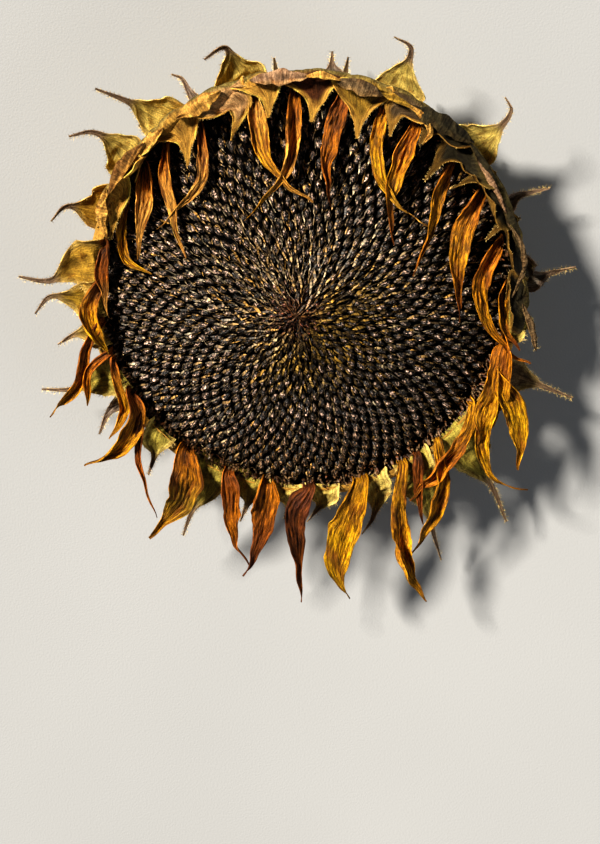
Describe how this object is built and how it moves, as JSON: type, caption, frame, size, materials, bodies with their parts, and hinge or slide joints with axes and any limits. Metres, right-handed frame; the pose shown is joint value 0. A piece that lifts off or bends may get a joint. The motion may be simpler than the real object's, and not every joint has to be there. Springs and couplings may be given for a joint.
{
  "type": "dried sunflower seed head",
  "caption": "Round dried sunflower head lying on its back: a domed disc of dark seeds in spirals, withered petals and curling pointed bracts round the rim.",
  "frame": {"origin": "middle of the small flat spot on the back of the head, where the stem was cut off flush", "axes": "+Z along the disc's axis, out of the seeds; +Y towards the side that was uppermost on the plant, so that the petals hang towards -Y; +X to the right when the seeds are looked at with +Y up"},
  "size_m": [0.2735, 0.2877, 0.0613],
  "materials": {
    "dry_bract": "matte",
    "seed_hull": "satin",
    "dry_petal": "matte"
  },
  "bodies": {
    "root": {"receptacle": "dry_bract", "seed_disc": "seed_hull", "petals": "dry_petal"}
  },
  "joints": []
}
